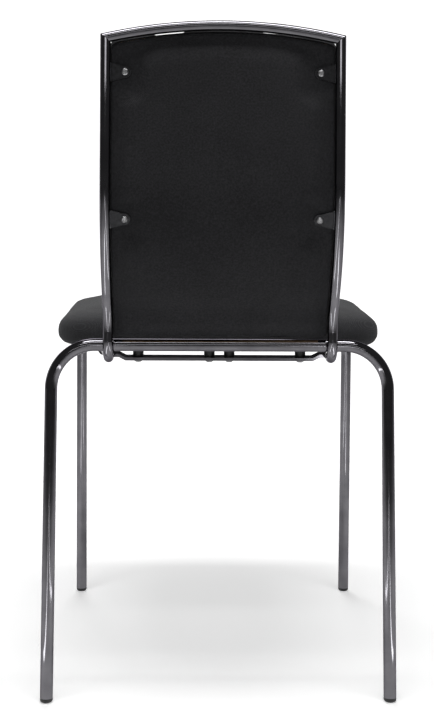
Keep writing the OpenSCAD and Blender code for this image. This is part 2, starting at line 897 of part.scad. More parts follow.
// The upper edge follows the top bar: how far a point lies below the panel's middle
function arch_drop(x) = panel_arch_r - sqrt(pow(panel_arch_r, 2) - pow(x, 2));
function arch_share(z) = max(0, (z - lean_end_z) / (panel_top_z - lean_end_z));

// Height of a crown, as a share, where u and v run from 0 in its middle to 1 at its edge
function crown(u, v) =
    pow(max(0, 1 - pow(abs(u), crown_power)) * max(0, 1 - pow(abs(v), crown_power)), 1 / crown_power);
function reverse(list) = [for (i = [len(list) - 1 : -1 : 0]) list[i]];
function shifted(list) =
    concat([for (i = [0 : len(list) - 2]) i == 0 ? list[0] : list[i] + row_shift * (list[i - 1] - list[i])],
           [list[len(list) - 1]]);

// A pad on the panel. It is flat at base_w, reaches edge_w at its edge and rises by height at its crown.
// Its outline is drawn in all round by inset and at the sides by side.
// Where cavity is true, its rows lie beside the panel's, so that no two rows meet.
module panel_pad(base_w, edge_w, height, inset = 0, side = 0, cavity = false) {
    half_w = panel_half_w - inset - side;
    function row(z, w, rise) =
        let (half = panel_half_at(z, inset, side), v = (z - panel_mid_z) / (panel_half_h - inset))
        [
            for (u = column_shares)
                on_back(u * half, z - arch_share(z) * arch_drop(u * half), w + rise * crown(u * half / half_w, v))
        ];
    row_loft([for (z = cavity ? shifted(panel_rows(inset)) : panel_rows(inset))
                  concat(row(z, base_w, 0), reverse(row(z, edge_w, height)))],
             base_w > edge_w);
}

// The rear cloth: a thin sheet with a flat border, hollow behind its swelling for the foam
module rear_cloth_shell() {
    base_w = rear_cloth_w + cloth_t;
    low = panel_bottom_z + rear_pad_end + cloth_t;
    high = panel_top_z - rear_pad_end - cloth_t;
    hollow_half_w = panel_half_w - rear_pad_margin - cloth_t;
    rows = concat(
        [panel_bottom_z, low, low + wall_step],
        [for (z = inner_rows) if (z > low + row_gap && z < high - row_gap) z],
        [high - wall_step, high, panel_top_z]
    );
    function place_on(x, z, w) = on_back(x, z - arch_share(z) * arch_drop(x), w);
    function outside(z) =
        let (
            half = panel_half_at(z, 0, 0),
            v = (z - panel_mid_z) / (panel_half_h - rear_pad_end)
        )
        concat(
            [place_on(-half, z, base_w)],
            [for (u = rear_columns)
                place_on(u * half, z,
                         rear_cloth_w - rear_pad_h * crown(u * half / (panel_half_w - rear_pad_margin), v))],
            [place_on(half, z, base_w)]
        );
    function inside(z) =
        let (
            hollow = z > low && z < high,
            half = hollow_half_w + (hollow ? 0 : wall_step),
            v = (z - panel_mid_z) / (high - panel_mid_z)
        )
        concat(
            [place_on(-half, z, base_w)],
            [for (u = hollow_columns)
                place_on(u * hollow_half_w, z, base_w - (hollow ? soft_gap / 2 + rear_pad_h * crown(u, v) : 0))],
            [place_on(half, z, base_w)]
        );
    row_loft([for (z = rows) concat(outside(z), reverse(inside(z)))], false);
}

module back_board() {
    rows = panel_rows(foam_inset);
    rear_face = [for (z = rows) on_back(0, z, board_w)];
    front_face = [for (z = reverse(rows)) on_back(0, z, board_w + board_t)];
    outline = concat(
        [for (z = rows) [panel_half_at(z, foam_inset, 0), z]],
        [for (u = reverse(column_shares))
            let (half = panel_half_at(panel_top_z - foam_inset, foam_inset, 0))
                [u * half, panel_top_z - foam_inset]],
        [for (z = reverse(rows)) [-panel_half_at(z, foam_inset, 0), z]]
    );
    color("#b08a5a")
        place()
            difference() {
                intersection() {
                    rotate([90, 0, 90])
                        translate([0, 0, -panel_half_w])
                            linear_extrude(2 * panel_half_w)
                                polygon([for (p = concat(rear_face, front_face)) [p[1], p[2]]]);
                    translate([0, rod_top_y + overrun, 0])
                        rotate([90, 0, 0])
                            linear_extrude(rod_top_y + 3 * overrun)
                                polygon([for (p = outline) [p[0], p[1] - arch_share(p[1]) * arch_drop(p[0])]]);
                }
                at_tab_screws() {
                    translate([0, 0, -overrun])
                        cylinder(h = 2 * overrun, r = back_barrel_d / 2 + fit_gap);
                    translate([0, 0, back_flange_t + fit_gap - board_w - board_t - overrun])
                        cylinder(h = overrun, r = back_flange_d / 2 + fit_gap);
                }
            }
}

// The front cloth covers the padding and the board's edge, and is open at the board's rear
module back_front_cover() {
    color("#242426")
        place()
            difference() {
                panel_pad(board_w, front_foam_w + 2 * cloth_t, front_pad_h);
                panel_pad(board_w - overrun, front_foam_w + cloth_t, front_pad_h, cloth_t, cavity = true);
            }
}

module back_front_foam() {
    color("#c9b96a")
        place()
            panel_pad(front_foam_w, front_foam_w + cloth_t - soft_gap, front_pad_h - soft_gap, foam_inset);
}

// The rear cloth lies flat on the board at its border and swells over its foam
module back_rear_cover() {
    color("#242426")
        place()
            difference() {
                rear_cloth_shell();
                at_tab_screws()
                    translate([0, 0, -overrun])
                        cylinder(h = 2 * overrun, r = back_screw_d / 2 + hole_gap);
            }
}

module back_rear_foam() {
    color("#c9b96a")
        place()
            panel_pad(board_w - soft_gap / 2, board_w - soft_gap, -rear_pad_h + 2 * soft_gap,
                      rear_pad_end + foam_inset + row_gap, rear_pad_margin - rear_pad_end);
}

rear_leg_frame();
front_leg_frame();
left_back_rod();
right_back_rod();
top_bar();
upper_left_tab();
upper_right_tab();
lower_left_tab();
lower_right_tab();
back_screws();
back_nuts();
back_board();
back_front_foam();
back_front_cover();
back_rear_foam();
back_rear_cover();
rear_seat_strap();
front_seat_strap();
seat_spacers();
seat_screws();
seat_nuts();
seat_pan();
seat_foam();
seat_cover();
seat_underside_cloth();
rear_left_glide();
rear_right_glide();
front_left_glide();
front_right_glide();
stacking_bumpers();
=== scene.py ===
"""Looks of a stacking choir chair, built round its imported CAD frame. Lengths are in metres.

+Z is up and the sitter faces -Y. The camera stands behind the chair, as in the photograph.
"""

import math

import bmesh
import bpy
import numpy as np
from mathutils import Matrix, Vector, noise


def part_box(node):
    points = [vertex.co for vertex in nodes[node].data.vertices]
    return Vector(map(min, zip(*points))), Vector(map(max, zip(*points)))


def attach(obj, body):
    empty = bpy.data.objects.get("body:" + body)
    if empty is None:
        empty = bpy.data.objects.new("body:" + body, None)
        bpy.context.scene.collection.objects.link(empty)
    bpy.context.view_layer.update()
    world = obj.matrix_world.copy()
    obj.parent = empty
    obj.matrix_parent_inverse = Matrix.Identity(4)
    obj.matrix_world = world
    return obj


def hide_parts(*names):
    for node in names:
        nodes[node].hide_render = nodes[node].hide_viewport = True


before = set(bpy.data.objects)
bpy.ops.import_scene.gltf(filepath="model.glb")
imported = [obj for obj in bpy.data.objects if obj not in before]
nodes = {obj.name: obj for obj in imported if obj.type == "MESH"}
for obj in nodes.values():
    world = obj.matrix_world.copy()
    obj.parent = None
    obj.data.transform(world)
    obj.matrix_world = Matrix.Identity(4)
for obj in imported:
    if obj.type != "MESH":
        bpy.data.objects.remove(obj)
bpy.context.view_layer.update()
scene = bpy.context.scene

# Frame, as in the part's source. A name that ends in _R is a radius, and in _T a thickness.
LEG_R = 0.008
ROD_R = 0.00635
RAIL_Z = 0.440
FOOT_BEND_R = 0.022
WELD_GAP = 0.0001
ROD_SETBACK = FOOT_BEND_R - (FOOT_BEND_R - LEG_R - ROD_R - WELD_GAP) / math.sqrt(2)
ROD_X = 0.1418
SIDE_ROD_Z = RAIL_Z - ROD_SETBACK

# Lean of the back
LEAN_START_Z = 0.458
LEAN_LOW_R = 0.060
LEAN_HIGH_R = 0.230
LEAN_STRAIGHT = 0.015
LEAN_ANGLE = math.radians(38)
LEAN_LOW_Z = LEAN_START_Z + LEAN_LOW_R * math.sin(LEAN_ANGLE)
LEAN_MID_Z = LEAN_LOW_Z + LEAN_STRAIGHT * math.cos(LEAN_ANGLE)
LEAN_END_Z = LEAN_MID_Z + LEAN_HIGH_R * math.sin(LEAN_ANGLE)
LOW_RUN = LEAN_LOW_R * (1 - math.cos(LEAN_ANGLE))
LEAN_RUN = LOW_RUN + LEAN_STRAIGHT * math.sin(LEAN_ANGLE) + LEAN_HIGH_R * (1 - math.cos(LEAN_ANGLE))

bar_low, bar_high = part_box("top_bar")
BACK_Y = (bar_low.y + bar_high.y) / 2 - LEAN_RUN
RAIL_Y = BACK_Y - ROD_SETBACK

# Back panel. The lengths marked forward are measured from the rods' centres.
BAR_ARCH_R = 0.640
PANEL_HALF_W = 0.1352
PANEL_BOTTOM_Z = 0.451
PANEL_TOP_GAP = 0.0003
PANEL_TOP_Z = bar_high.z - 2 * ROD_R - PANEL_TOP_GAP
PANEL_MID_Z = (PANEL_TOP_Z + PANEL_BOTTOM_Z) / 2
PANEL_HALF_H = (PANEL_TOP_Z - PANEL_BOTTOM_Z) / 2
PANEL_CORNER_R = 0.009
PANEL_ARCH_R = BAR_ARCH_R - ROD_R - PANEL_TOP_GAP
REAR_CLOTH_W = 0.00315  # forward
BOARD_W = 0.0045  # forward
FRONT_FOAM_W = 0.0148  # forward
CLOTH_T = 0.0012
CROWN_POWER = 2.5

# Front cushion of the back. It swells past the board's edge, by the shares that CUSHION_SIDE gives at some
# distances forward, and it starts a little smaller because it is blown up.
FRONT_PAD_H = 0.024
FRONT_SHRINK = 0.0008
FRONT_HELD_T = 0.006
CUSHION_BULGE = 0.0058
CUSHION_SIDE = ((0.0075, 0.25), (0.0105, 0.7))
CUSHION_LIFT_FROM, CUSHION_LIFT_RUN = 0.8, 0.2

# Rear padding of the back: flat in a border and at the tabs, with a rolled edge inside it
REAR_PAD_H = 0.011
REAR_PAD_MARGIN = 0.0251
REAR_PAD_BORDER = 0.006
REAR_PAD_CORNER = 0.060
REAR_PAD_ROLL = 0.024
REAR_PAD_CROWN = 0.001
REAR_ROLL_POWER = 2.2
REAR_PINCH_POWER = 1.5
REAR_SHRINK = 0.0002
REAR_HELD_SIDE = 0.004
REAR_HELD_TAB = 0.018
REAR_HELD_DEPTH = 0.0006
SWELL_HALF_W = PANEL_HALF_W - REAR_PAD_BORDER

# Tabs, the welt round the back, and the weld beads
TAB_SCREW_Z = (0.777, 0.5995)
TAB_RISE = 0.013
TAB_FALL = 0.013
TAB_W = 0.001  # forward
TAB_EDGE = 0.002
WELT_CORNER_R = 0.004
WELT_INSET = 0.001
WELT_W = 0.0052  # forward
WELT_R = 0.0011
WELT_RIPPLE, WELT_PITCH = 0.04, 0.004
TAB_BEAD_R, TAB_BEAD_RIPPLE = 0.0010, 0.10
RAIL_BEAD_R, RAIL_BEAD_RIPPLE = 0.0011, 0.12
BEAD_PITCH = 0.0013

# Seat
SEAT_HALF_W = 0.217
SEAT_FLARE = 0.005
SEAT_LEN = 0.404
SEAT_CORNER_R = 0.080
SEAT_H = 0.056
SEAT_FRONT_FALL = 0.45
SEAT_POWER = 3.4
SEAT_BELLY_H = 0.013
SEAT_OVERHANG = 0.008
SEAT_HEM_Z = 0.0009
SEAT_REAR_GAP = 0.016
SEAT_REAR_Y = RAIL_Y - LEG_R - SEAT_REAR_GAP
SEAT_REAR_Z = SIDE_ROD_Z + ROD_R + WELD_GAP
RAIL_GAP = 0.401
SEAT_RUN = RAIL_GAP - LEG_R - SEAT_REAR_GAP
SEAT_RISE = RAIL_Z - SEAT_REAR_Z
SEAT_TILT = -math.atan(SEAT_RISE / SEAT_RUN) - math.asin((LEG_R + WELD_GAP) / math.hypot(SEAT_RUN, SEAT_RISE))
SEAT_SHRINK = 0.001
SEAT_HELD_SHARE = 0.7
SEAT_PULL_LEVEL = 0.016
SEAT_PULL_REACH = 0.018

# How the padding is blown up: pressure, and how far a point may move
SEAT_BLOW = (4.0, 0.002)
FRONT_BLOW = (4.0, 0.004)
REAR_BLOW = (3.0, 0.002)
SEAT_EVEN_STEPS = 40
FOLD_DEPTH = 0.0005
UNEVEN = 0.0006
UNEVEN_FINE = 0.0003
VOXEL = 0.005
CLOTH_FRAMES = 20
CLOTH_SETTINGS = {
    "quality": 5,
    "mass": 0.3,
    "tension_stiffness": 15,
    "compression_stiffness": 15,
    "shear_stiffness": 5,
    "bending_stiffness": 0.5,
    "use_pressure": True,
    "vertex_group_mass": "held",
}


# The back's shape

def lean_at(z):
    """The back's slope at height z, as an angle from upright."""
    if z <= LEAN_START_Z or z >= LEAN_END_Z:
        return 0.0
    if z <= LEAN_LOW_Z:
        return math.asin((z - LEAN_START_Z) / LEAN_LOW_R)
    if z <= LEAN_MID_Z:
        return LEAN_ANGLE
    return math.asin((LEAN_END_Z - z) / LEAN_HIGH_R)


def lean_offset(z):
    """How far the rods' centres lie behind their lower end at height z."""
    if z <= LEAN_START_Z:
        return 0.0
    if z >= LEAN_END_Z:
        return LEAN_RUN
    if z <= LEAN_LOW_Z:
        return LEAN_LOW_R * (1 - math.cos(lean_at(z)))
    if z <= LEAN_MID_Z:
        return LOW_RUN + (z - LEAN_LOW_Z) * math.tan(LEAN_ANGLE)
    return LEAN_RUN - LEAN_HIGH_R * (1 - math.cos(lean_at(z)))


def on_back(x, z, w):
    """A point of the back: x across, z up the rods' centres, w forward from them."""
    lean = lean_at(z)
    return Vector((x, BACK_Y + lean_offset(z) - w * math.cos(lean), z + w * math.sin(lean)))


def ahead_of(w, p):
    """How far a point lies in front of the surface that is w forward from the rods' centres."""
    z = min(max(p.z, PANEL_BOTTOM_Z), PANEL_TOP_Z)
    surface = on_back(0, z, w)
    lean = lean_at(z)
    return (surface.y - p.y) * math.cos(lean) + (p.z - surface.z) * math.sin(lean)


def arch_drop(x, z):
    """How far a point lies below the panel's middle, because the upper edge follows the top bar."""
    share = max(0.0, (z - LEAN_END_Z) / (PANEL_TOP_Z - LEAN_END_Z))
    return share * (PANEL_ARCH_R - math.sqrt(PANEL_ARCH_R**2 - x**2))


def crown(u, v):
    """Height of a crown, as a share, where u and v run from 0 in its middle to 1 at its edge."""
    across = max(0.0, 1 - abs(u) ** CROWN_POWER)
    along = max(0.0, 1 - abs(v) ** CROWN_POWER)
    return (across * along) ** (1 / CROWN_POWER)


# The seat's shape

def on_seat(x, y, z):
    """A point drawn on the seat plane, with y = 0 at its rear edge, put into place."""
    c, s = math.cos(SEAT_TILT), math.sin(SEAT_TILT)
    return Vector((x, SEAT_REAR_Y + y * c - z * s, SEAT_REAR_Z + y * s + z * c))


def seat_level(p):
    """Height of a point over the seat plane."""
    return (p.z - SEAT_REAR_Z) * math.cos(SEAT_TILT) - (p.y - SEAT_REAR_Y) * math.sin(SEAT_TILT)


def seat_ring(inset, z, share=1.0, fall=0.0, corner_points=10, side_points=18):
    """The seat's outline, drawn in by inset and scaled by share, at height z less fall at its front edge."""
    a, b, r = SEAT_HALF_W - inset, SEAT_LEN / 2 - inset, SEAT_CORNER_R - inset / 2
    loop = []
    for k, (cx, cy) in enumerate([(a - r, b - r), (r - a, b - r), (r - a, r - b), (a - r, r - b)]):
        turn = [math.pi / 2 * (k + i / corner_points) for i in range(corner_points + 1)]
        corner = [(cx + r * math.cos(t), cy + r * math.sin(t)) for t in turn]
        loop += corner
        next_turn = math.pi / 2 * (k + 1)
        nx, ny = [(r - a, b - r), (r - a, r - b), (a - r, r - b), (a - r, b - r)][k]
        start = corner[-1]
        end = (nx + r * math.cos(next_turn), ny + r * math.sin(next_turn))
        loop += [
            tuple(start[j] + (end[j] - start[j]) * i / side_points for j in (0, 1))
            for i in range(1, side_points)
        ]
    flare = [math.copysign(SEAT_FLARE, x) * (1 - y / (SEAT_LEN / 2)) / 2 for x, y in loop]
    return [
        on_seat(share * (x + f), share * y - SEAT_LEN / 2, z - fall * (1 - share * y / (SEAT_LEN / 2)) / 2)
        for (x, y), f in zip(loop, flare)
    ]


# Mesh helpers

def mesh_object(name, points, faces):
    mesh = bpy.data.meshes.new(name)
    mesh.from_pydata([tuple(p) for p in points], [], faces)
    mesh.validate()
    build = bmesh.new()
    build.from_mesh(mesh)
    bmesh.ops.remove_doubles(build, verts=build.verts, dist=1e-6)
    bmesh.ops.recalc_face_normals(build, faces=build.faces)
    build.to_mesh(mesh)
    build.free()
    mesh.polygons.foreach_set("use_smooth", [True] * len(mesh.polygons))
    piece = bpy.data.objects.new(name, mesh)
    scene.collection.objects.link(piece)
    return piece


def loft(name, first, rings, last):
    """A closed form through rings of points, from a first point to a last point."""
    n = len(rings[0])
    points = [first] + [p for ring in rings for p in ring] + [last]
    faces = [(0, 1 + (i + 1) % n, 1 + i) for i in range(n)]
    for k in range(len(rings) - 1):
        a, b = 1 + k * n, 1 + (k + 1) * n
        faces += [(a + i, a + (i + 1) % n, b + (i + 1) % n, b + i) for i in range(n)]
    end = len(points) - 1
    a = 1 + (len(rings) - 1) * n
    faces += [(end, a + i, a + (i + 1) % n) for i in range(n)]
    return mesh_object(name, points, faces)


def coordinates(mesh):
    flat = np.zeros(len(mesh.vertices) * 3, np.float32)
    mesh.vertices.foreach_get("co", flat)
    return flat.reshape(-1, 3).astype(float)


def apply_modifiers(piece):
    graph = bpy.context.evaluated_depsgraph_get()
    mesh = bpy.data.meshes.new_from_object(piece.evaluated_get(graph))
    piece.modifiers.clear()
    old = piece.data
    piece.data = mesh
    mesh.name = piece.name
    bpy.data.meshes.remove(old)
    mesh.polygons.foreach_set("use_smooth", [True] * len(mesh.polygons))


def remesh(piece):
    step = piece.modifiers.new("remesh", "REMESH")
    step.mode = "VOXEL"
    step.voxel_size = VOXEL
    apply_modifiers(piece)


def subdivide(piece):
    step = piece.modifiers.new("subdivide", "SUBSURF")
    step.levels = step.render_levels = 1
    apply_modifiers(piece)


def spread_evenly(mesh, shift, steps):
    """Evens out a shift per point over the mesh, so that the blown form has no dents or creases."""
    ends = np.empty(len(mesh.edges) * 2, dtype=np.int32)
    mesh.edges.foreach_get("vertices", ends)
    a, b = ends.reshape(-1, 2).T
    count = np.bincount(ends, minlength=len(shift))[:, None]
    for _ in range(steps):
        total = np.zeros_like(shift)
        np.add.at(total, a, shift[b])
        np.add.at(total, b, shift[a])
        shift = (shift + total / np.maximum(count, 1)) / 2
    return shift


def inflate(piece, pressure, cap, is_held, even=0):
    """Blows the piece up as cloth, keeps the held points in place and caps how far the others move out."""
    rest = coordinates(piece.data)
    out = np.array([v.normal[:] for v in piece.data.vertices])
    group = piece.vertex_groups.new(name="held")
    group.add([i for i, p in enumerate(rest) if is_held(Vector(p))], 1.0, "REPLACE")
    cloth = piece.modifiers.new("cloth", "CLOTH")
    for key, value in CLOTH_SETTINGS.items():
        setattr(cloth.settings, key, value)
    cloth.settings.uniform_pressure_force = pressure
    cloth.settings.effector_weights.gravity = 0
    cloth.point_cache.frame_start = 1
    cloth.point_cache.frame_end = CLOTH_FRAMES
    for k in range(1, CLOTH_FRAMES + 1):
        scene.frame_set(k)
    graph = bpy.context.evaluated_depsgraph_get()
    moved = coordinates(piece.evaluated_get(graph).data)
    piece.modifiers.remove(cloth)
    piece.vertex_groups.clear()
    scene.frame_set(1)
    shift = spread_evenly(piece.data, moved - rest, even)
    inward = np.minimum(0.0, (shift * out).sum(axis=1, keepdims=True))
    shift -= inward * out
    length = np.linalg.norm(shift, axis=1, keepdims=True)
    shift *= np.minimum(1.0, cap / np.maximum(length, 1e-9))
    piece.data.vertices.foreach_set("co", (rest + shift).astype(np.float32).ravel())
    piece.data.update()


def move_points(piece, shift_of):
    """Moves each point by what shift_of gives for its place and its normal."""
    mesh = piece.data
    normals = [v.normal.copy() for v in mesh.vertices]
    for vertex, normal in zip(mesh.vertices, normals):
        vertex.co += shift_of(vertex.co, normal)
    mesh.update()


# Upholstery

def make_seat_cushion():
    """Rounded rings over the belly line, and two drawn in under it. The crown falls towards the front."""
    angles = [86, 82, 77, 72, 66, 60, 53, 46, 39, 32, 25, 18, 11, 6, 2, 0]
    full_rise = SEAT_H - SEAT_SHRINK - SEAT_BELLY_H
    rings = []
    for angle in angles:
        a = math.radians(angle)
        share = math.cos(a) ** (2 / SEAT_POWER)
        rise = full_rise * max(0.0, math.sin(a)) ** (2 / SEAT_POWER)
        rings.append(seat_ring(SEAT_SHRINK, SEAT_BELLY_H + rise, share, rise * SEAT_FRONT_FALL))
    rings.append(seat_ring(SEAT_OVERHANG / 3, (SEAT_HEM_Z + SEAT_BELLY_H) / 2))
    rings.append(seat_ring(SEAT_OVERHANG, SEAT_HEM_Z))
    middle = -SEAT_LEN / 2
    top = SEAT_H - SEAT_SHRINK - full_rise * SEAT_FRONT_FALL / 2
    piece = loft("seat_cushion", on_seat(0, middle, top), rings, on_seat(0, middle, SEAT_HEM_Z))
    remesh(piece)
    hold_z = SEAT_BELLY_H * SEAT_HELD_SHARE
    inflate(piece, *SEAT_BLOW, lambda p: seat_level(p) < hold_z, SEAT_EVEN_STEPS)
    subdivide(piece)

    def pull(p, normal):
        """Shallow pulls where the cloth is drawn under the pan, and a slight unevenness of the padding."""
        side = max(0.0, 1 - abs(seat_level(p) - SEAT_PULL_LEVEL) / SEAT_PULL_REACH)
        folds = noise.noise(Vector((p.x * 42, p.y * 42, p.z * 6)))
        soft = noise.noise(p * 11)
        return normal * (FOLD_DEPTH * side * folds + UNEVEN * soft)

    move_points(piece, pull)
    return piece


def panel_half_at(z, inset, r=PANEL_CORNER_R):
    """Half the panel's width at height z, with its corners rounded."""
    from_end = max(0.0, min(z - PANEL_BOTTOM_Z - inset, PANEL_TOP_Z - inset - z))
    rounding = r - math.sqrt(r * r - (r - from_end) ** 2) if from_end < r else 0.0
    return PANEL_HALF_W - inset - rounding


def panel_rows(inset, count):
    """Heights of rows on the panel, closer together at its ends."""
    low, high = PANEL_BOTTOM_Z + inset, PANEL_TOP_Z - inset
    shares = [(1 - math.cos(math.pi * i / count)) / 2 for i in range(count + 1)]
    return [low + (high - low) * (0.35 * s + 0.65 * i / count) for i, s in enumerate(shares)]


def row_form(name, rows):
    """A closed form through rows of points. Each row runs round one section."""
    n = len(rows[0])
    points = [p for row in rows for p in row]
    faces = [
        (k * n + i, k * n + (i + 1) % n, (k + 1) * n + (i + 1) % n, (k + 1) * n + i)
        for k in range(len(rows) - 1)
        for i in range(n)
    ]
    last = (len(rows) - 1) * n
    faces += [tuple(range(n)), tuple(range(last + n - 1, last - 1, -1))]
    return mesh_object(name, points, faces)


def columns_across(count):
    """Places from -1 to 1, closer together at the ends."""
    places = [2 * i / count - 1 for i in range(count + 1)]
    return [math.sin(math.pi / 2 * u) * 0.5 + u * 0.5 for u in places]


def make_back_front_cushion():
    """A flat rear face on the board, a side that swells past it, and a crowned front face."""
    columns = columns_across(40)
    rows = []
    for z in panel_rows(FRONT_SHRINK, 56):
        half = panel_half_at(z, FRONT_SHRINK, PANEL_CORNER_R / 4)
        v = (z - PANEL_MID_Z) / (PANEL_HALF_H - FRONT_SHRINK)
        lift = CUSHION_BULGE * max(0.0, (v - CUSHION_LIFT_FROM) / CUSHION_LIFT_RUN)

        def point(u, w, bulge):
            x = u * (half + bulge * CUSHION_BULGE)
            return on_back(x, z + bulge * lift - arch_drop(x, z), w)

        def front_point(u):
            return point(u, FRONT_FOAM_W + CLOTH_T + (FRONT_PAD_H - FRONT_SHRINK) * crown(u, v), 1.0)

        rear = [point(u, BOARD_W, 0.0) for u in columns]
        left = [point(1.0, w, bulge) for w, bulge in CUSHION_SIDE]
        right = [point(-1.0, w, bulge) for w, bulge in reversed(CUSHION_SIDE)]
        front = [front_point(u) for u in reversed(columns)]
        rows.append(rear + left + front + right)
    piece = row_form("back_front_cushion", rows)
    remesh(piece)
    inflate(piece, *FRONT_BLOW, lambda p: ahead_of(BOARD_W, p) < FRONT_HELD_T)
    subdivide(piece)

    def uneven(p, normal):
        return normal * (UNEVEN * noise.noise(p * 12) + UNEVEN_FINE * noise.noise(p * 31))

    move_points(piece, uneven)
    return piece


def rear_swell(x, z):
    """Height of the rear padding, with z from the panel's middle. Its outline has wide upper corners."""
    half_w, half_h = SWELL_HALF_W, PANEL_HALF_H - REAR_PAD_BORDER / 2
    corner = REAR_PAD_CORNER if z > 0 else REAR_PAD_CORNER / 3
    over_x, over_z = abs(x) - half_w + corner, abs(z) - half_h + corner
    inside = corner - math.hypot(max(over_x, 0.0), max(over_z, 0.0)) - min(max(over_x, over_z), 0.0)
    width = REAR_PAD_ROLL * (1 + max(0.0, z / half_h) ** 3)
    roll = 1 - min(1.0, max(0.0, inside) / width)
    middle = max(0.0, 1 - (x / half_w) ** 2) * max(0.0, 1 - (z / half_h) ** 2)
    pinch = 1.0
    for tab_z in TAB_SCREW_Z:
        beside = max(0.0, PANEL_HALF_W - REAR_PAD_MARGIN - abs(x))
        off = max(0.0, abs(z + PANEL_MID_Z - tab_z) - TAB_RISE - TAB_EDGE)
        share = min(1.0, math.hypot(beside, off) / REAR_PAD_ROLL)
        pinch = min(pinch, math.sin(math.pi / 2 * share) ** REAR_PINCH_POWER)
    rolled = (REAR_PAD_H - REAR_PAD_CROWN) * (1 - roll ** REAR_ROLL_POWER)
    return pinch * (rolled + REAR_PAD_CROWN * middle)


def make_back_rear_pad():
    """The rear cloth: flat at its border, where the tabs press on it, and swelling inside."""
    share = 1 - REAR_PAD_BORDER / PANEL_HALF_W
    columns = [-1.0] + [u * share for u in columns_across(60)] + [1.0]
    rows = []
    for z in panel_rows(REAR_SHRINK, 90):
        half = panel_half_at(z, REAR_SHRINK)

        def point(u, rise_w):
            x = u * half
            return on_back(x, z - arch_drop(x, z), REAR_CLOTH_W + rise_w)

        rear = [point(u, -rear_swell(u * half, z - PANEL_MID_Z)) for u in columns]
        front = [point(u, CLOTH_T) for u in reversed(columns)]
        rows.append(rear + front)
    piece = row_form("back_rear_pad", rows)

    def is_held(p):
        at_side = abs(p.x) > SWELL_HALF_W - REAR_HELD_SIDE
        by_tabs = abs(p.x) > PANEL_HALF_W - REAR_PAD_MARGIN - REAR_HELD_SIDE
        at_tab = by_tabs and min(abs(p.z - t) for t in TAB_SCREW_Z) < REAR_HELD_TAB
        return at_side or at_tab or ahead_of(REAR_CLOTH_W, p) > -REAR_HELD_DEPTH

    inflate(piece, *REAR_BLOW, is_held)
    subdivide(piece)

    def uneven(p, normal):
        inside = max(0.0, 1 - (p.x / SWELL_HALF_W) ** 2)
        return normal * inside * (UNEVEN * noise.noise(p * 14) + UNEVEN_FINE * noise.noise(p * 37))

    move_points(piece, uneven)
    return piece


# Seams and welds

def tube_along(points, radius, name, ripple, pitch=BEAD_PITCH, sides=8):
    """A closed cord through points, with a ripple along it, as a weld or a stitched seam has."""
    rings, run = [], 0.0
    for k, p in enumerate(points):
        if k:
            run += (p - points[k - 1]).length
        ahead = (points[min(k + 1, len(points) - 1)] - points[max(k - 1, 0)]).normalized()
        side = (side - ahead * side.dot(ahead) if rings else ahead.orthogonal()).normalized()
        up = ahead.cross(side)
        end = min(k, len(points) - 1 - k)
        r = radius * (0.45 if end == 0 else 0.8 if end == 1 else 1.0)
        r *= 1 + ripple * math.sin(2 * math.pi * run / pitch) + ripple * noise.noise(p * 400)
        turns = [2 * math.pi * i / sides for i in range(sides)]
        rings.append([p + r * (math.cos(t) * side + math.sin(t) * up) for t in turns])
    return loft(name, points[0], rings, points[-1])


def join(pieces, name):
    with bpy.context.temp_override(active_object=pieces[0], selected_editable_objects=pieces):
        bpy.ops.object.join()
    pieces[0].name = name
    return pieces[0]


def make_tab_welds():
    """Beads on the rear side of the tabs, where they meet the rods."""
    beads, count = [], 60
    x, w = ROD_X - ROD_R + 0.0002, TAB_W - 0.0007
    for side in (1, -1):
        for z in TAB_SCREW_Z:
            low, high = z - TAB_FALL + TAB_EDGE, z + TAB_RISE - TAB_EDGE
            path = [on_back(side * x, low + (high - low) * i / count, w) for i in range(count + 1)]
            beads.append(tube_along(path, TAB_BEAD_R, "bead", TAB_BEAD_RIPPLE))
    return join(beads, "tab_welds")


def make_rail_welds():
    """Beads in the valleys on both sides of the place where each rod passes under the rear rail."""
    beads, count = [], 32
    reach = LEG_R + 0.0006
    for side in (1, -1):
        for edge in (1, -1):
            path = []
            for i in range(count + 1):
                turn = math.radians(20 + 50 * i / count)
                x = side * ROD_X + edge * (0.0042 - 0.0016 * (2 * i / count - 1) ** 2)
                path.append(Vector((x, RAIL_Y + reach * math.cos(turn), RAIL_Z - reach * math.sin(turn))))
            beads.append(tube_along(path, RAIL_BEAD_R, "bead", RAIL_BEAD_RIPPLE))
    return join(beads, "rail_welds")


def make_back_welt():
    """The folded seam round the back, where the rear cloth meets the front cover."""
    heights, top_count = panel_rows(WELT_INSET, 80), 60

    def side_point(side, z):
        x = side * panel_half_at(z, WELT_INSET, WELT_CORNER_R)
        return on_back(x, z - arch_drop(PANEL_HALF_W, z), WELT_W)

    top_z = PANEL_TOP_Z - WELT_INSET
    top_half = panel_half_at(top_z, WELT_INSET, WELT_CORNER_R)
    path = [side_point(1, z) for z in heights]
    for i in range(1, top_count):
        x = top_half * (1 - 2 * i / top_count)
        path.append(on_back(x, top_z - arch_drop(x, PANEL_TOP_Z), WELT_W))
    path += [side_point(-1, z) for z in reversed(heights)]
    return tube_along(path, WELT_R, "back_welt", WELT_RIPPLE, WELT_PITCH)


# Materials

